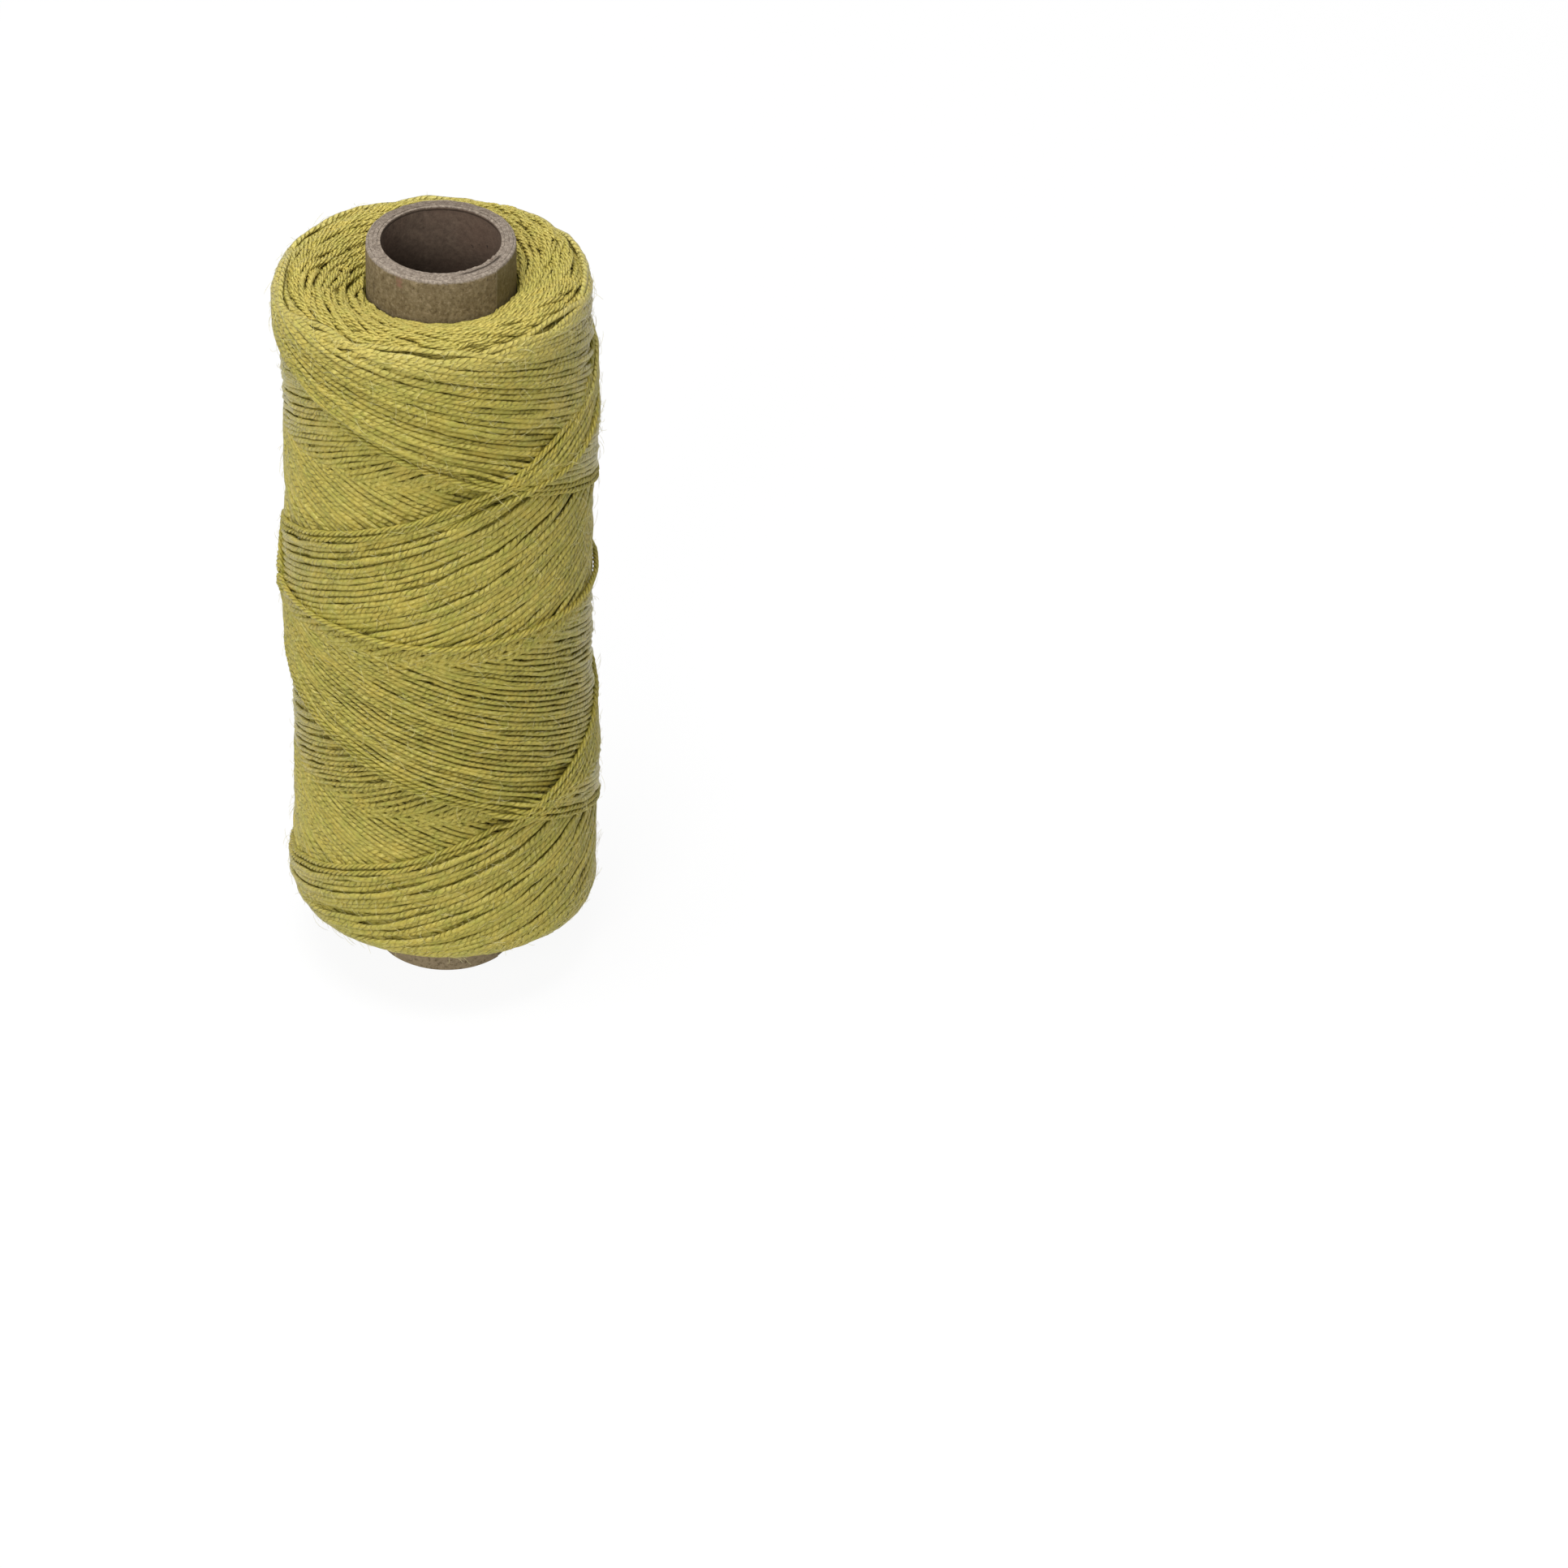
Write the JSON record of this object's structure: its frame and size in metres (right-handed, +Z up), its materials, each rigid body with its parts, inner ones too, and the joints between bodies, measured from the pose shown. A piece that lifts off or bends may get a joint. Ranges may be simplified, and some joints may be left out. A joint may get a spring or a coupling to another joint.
{
  "type": "waxed thread spool",
  "caption": "Laminated paper tube cross-wound with waxed linen thread; stands on the tube's rim and turns on a spindle through its bore.",
  "frame": {"origin": "centre of the tube's lower rim, on the surface that the spool stands on", "axes": "+Z up along the tube; the tie-off turn starts on the -X side, and -Y is the front"},
  "size_m": [0.0358, 0.0358, 0.091],
  "materials": {
    "tube_liner": "matt, unprinted",
    "tube_board": "cut fibrous edge",
    "tube_wrap": "matt kraft",
    "thread": "waxed, low sheen"
  },
  "bodies": {
    "root": {"tube_liner": "tube_liner", "tube_board_inner": "tube_board", "tube_board_outer": "tube_board", "tube_wrap": "tube_wrap", "thread_start": "thread", "thread_inner_windings": "thread", "thread_outer_layer": "thread", "thread_tie_off": "thread"}
  },
  "joints": []
}
